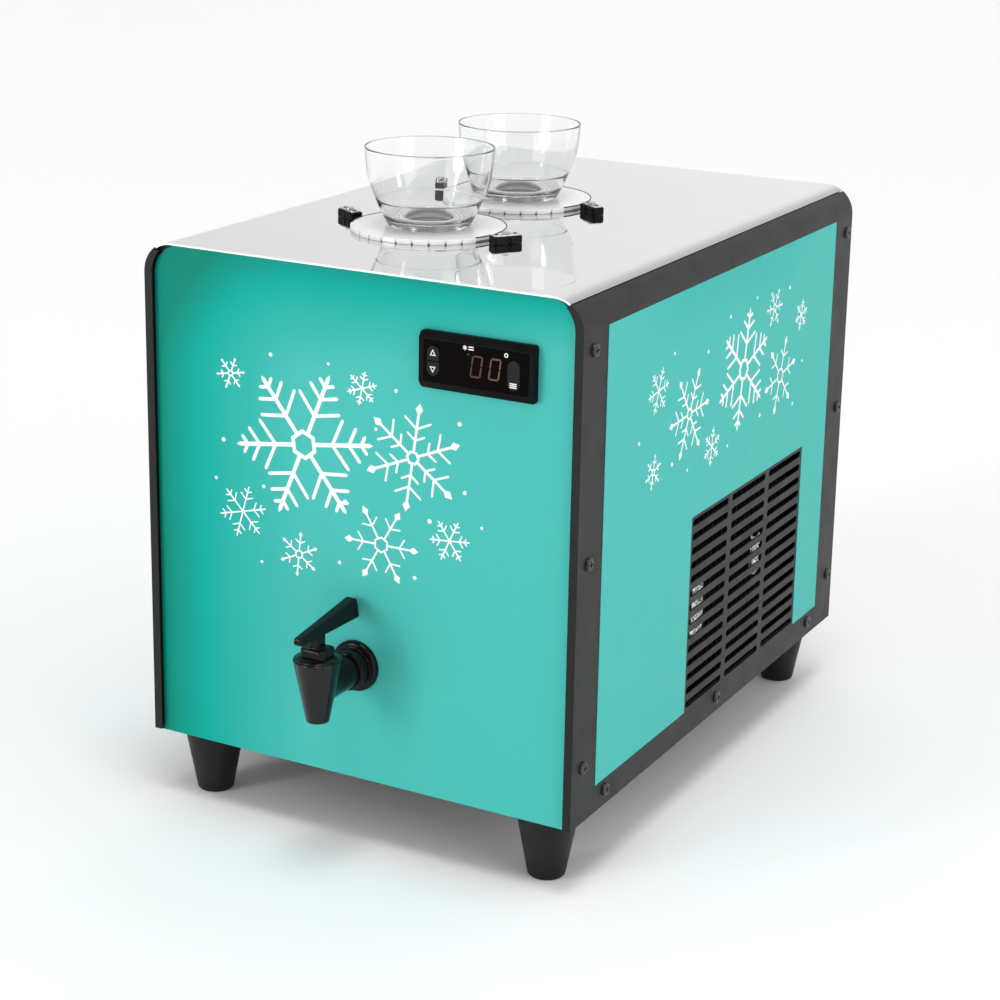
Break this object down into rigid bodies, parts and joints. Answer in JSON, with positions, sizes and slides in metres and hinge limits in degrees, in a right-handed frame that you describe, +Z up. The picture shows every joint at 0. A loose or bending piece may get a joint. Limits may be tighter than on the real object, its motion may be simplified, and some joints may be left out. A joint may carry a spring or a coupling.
{
  "type": "liquor dispenser",
  "caption": "Counter-top chilled spirit dispenser: a cabinet on tapered feet with clear bottle cups on a polished steel top, a self-closing tap and a digital thermostat on the front.",
  "frame": {"origin": "on the floor, at the middle of the outline seen from above, the tap included", "axes": "+Z up, the front with the tap faces -Y, +X is the viewer's right"},
  "size_m": [0.3118, 0.4932, 0.428],
  "materials": {
    "black_sheet": "satin black powder coat",
    "teal_film": "satin self-adhesive film",
    "polished_steel": "polished stainless steel",
    "dark_screws": "blackened steel",
    "zinc_fasteners": "zinc plated",
    "foot_rubber": "moulded, satin",
    "clear_cup": "clear, glossy",
    "white_seat": "glossy white",
    "gasket_rubber": "soft",
    "clamp_black": "moulded, with a bright plate on top",
    "tap_black": "glossy moulded",
    "silicone": "food grade silicone",
    "controller_black": "fine moulded texture",
    "window_red": "dark red, glossy",
    "key_rubber": "silicone keys",
    "tank_steel": "stainless",
    "foam": "rigid foam",
    "copper": "copper tube",
    "compressor_black": "gloss enamel",
    "inner_plastic": "moulded",
    "fin_aluminium": "bare fins",
    "galvanised": "galvanised sheet"
  },
  "bodies": {
    "cabinet": {"base_pan": "black_sheet", "front_panel": "black_sheet", "rear_panel": "black_sheet", "left_side_panel": "black_sheet", "right_side_panel": "black_sheet", "front_graphic": "teal_film", "left_graphic": "teal_film", "right_graphic": "teal_film", "top_panel": "polished_steel", "side_panel_screws": "dark_screws", "foot_screws": "zinc_fasteners", "clamp_screws": "zinc_fasteners", "tap_spring": "zinc_fasteners", "foot_front_left": "foot_rubber", "foot_front_right": "foot_rubber", "foot_rear_left": "foot_rubber", "foot_rear_right": "foot_rubber", "cup_gaskets": "gasket_rubber", "compressor_mounts": "gasket_rubber", "tap_body": "tap_black", "tap_escutcheon": "tap_black", "tap_bonnet": "tap_black", "tap_locknut": "tap_black", "outlet_tube": "silicone", "controller_case": "controller_black", "controller_window": "window_red", "tank": "tank_steel", "temperature_probe": "tank_steel", "tank_insulation": "foam", "evaporator_coil": "copper", "discharge_line": "copper", "liquid_line": "copper", "capillary_tube": "copper", "suction_line": "copper", "compressor": "compressor_black", "relay_cover": "inner_plastic", "fan_frame": "inner_plastic", "power_inlet": "inner_plastic", "switch_housing": "inner_plastic", "condenser": "fin_aluminium", "fan_shroud": "galvanised"},
    "tap_stem": {"tap_valve_stem": "tap_black", "tap_valve_plug": "silicone"},
    "lever": {"tap_lever": "tap_black", "tap_lever_pin": "zinc_fasteners"},
    "fan": {"fan_rotor": "inner_plastic"},
    "up_key": {"up_button": "key_rubber"},
    "down_key": {"down_button": "key_rubber"},
    "set_key": {"set_button": "key_rubber"},
    "cup_front": {"bottle_cup_front": "clear_cup", "seat_ring_front": "white_seat", "neck_sleeve_front": "polished_steel"},
    "cup_rear": {"bottle_cup_rear": "clear_cup", "seat_ring_rear": "white_seat", "neck_sleeve_rear": "polished_steel"},
    "rocker": {"switch_rocker": "inner_plastic"},
    "turn_front_left": {"clamp_front_left": "clamp_black"},
    "turn_front_right": {"clamp_front_right": "clamp_black"},
    "turn_rear_left": {"clamp_rear_left": "clamp_black"},
    "turn_rear_right": {"clamp_rear_right": "clamp_black"}
  },
  "joints": [
    {"name": "stem_lift", "type": "slide", "parent": "cabinet", "child": "tap_stem", "axis": [0, 0, 1], "range_m": [0, 0.00275], "stiffness_N_per_m": 200, "springref_m": -0.002, "deforming": ["tap_spring"]},
    {"name": "lever_tilt", "type": "hinge", "parent": "tap_stem", "child": "lever", "pos_m": [0, -0.22465, 0.144], "axis": [1, 0, 0], "range_deg": [0, 25]},
    {"name": "fan_spin", "type": "hinge", "parent": "cabinet", "child": "fan", "pos_m": [0.09, 0.07465, 0.1245], "axis": [1, 0, 0], "continuous": true},
    {"name": "up_press", "type": "slide", "parent": "cabinet", "child": "up_key", "axis": [0, 1, 0], "range_m": [0, 0.0006], "stiffness_N_per_m": 400},
    {"name": "down_press", "type": "slide", "parent": "cabinet", "child": "down_key", "axis": [0, 1, 0], "range_m": [0, 0.0006], "stiffness_N_per_m": 400},
    {"name": "set_press", "type": "slide", "parent": "cabinet", "child": "set_key", "axis": [0, 1, 0], "range_m": [0, 0.0006], "stiffness_N_per_m": 400},
    {"name": "front_left_turn", "type": "hinge", "parent": "cabinet", "child": "turn_front_left", "pos_m": [-0.0845, -0.05335, 0.3768], "axis": [0, 0, 1], "range_deg": [-30, 60]},
    {"name": "front_right_turn", "type": "hinge", "parent": "cabinet", "child": "turn_front_right", "pos_m": [0.0405, -0.06935, 0.3768], "axis": [0, 0, 1], "range_deg": [-60, 30]},
    {"name": "rear_left_turn", "type": "hinge", "parent": "cabinet", "child": "turn_rear_left", "pos_m": [-0.0845, 0.06765, 0.3768], "axis": [0, 0, 1], "range_deg": [-36, 54]},
    {"name": "rear_right_turn", "type": "hinge", "parent": "cabinet", "child": "turn_rear_right", "pos_m": [0.0405, 0.05165, 0.3768], "axis": [0, 0, 1], "range_deg": [-54, 36]},
    {"name": "front_cup_lift", "type": "slide", "parent": "cabinet", "child": "cup_front", "axis": [0, 0, 1], "range_m": [0, 0.08]},
    {"name": "rear_cup_lift", "type": "slide", "parent": "cabinet", "child": "cup_rear", "axis": [0, 0, 1], "range_m": [0, 0.08]},
    {"name": "switch_rock", "type": "hinge", "parent": "cabinet", "child": "rocker", "pos_m": [0.096, 0.24265, 0.126], "axis": [1, 0, 0], "range_deg": [-14, 0]}
  ],
  "couplings": [
    {"joint": "lever_tilt", "follows": "stem_lift", "rad_per_m": 158.5}
  ]
}
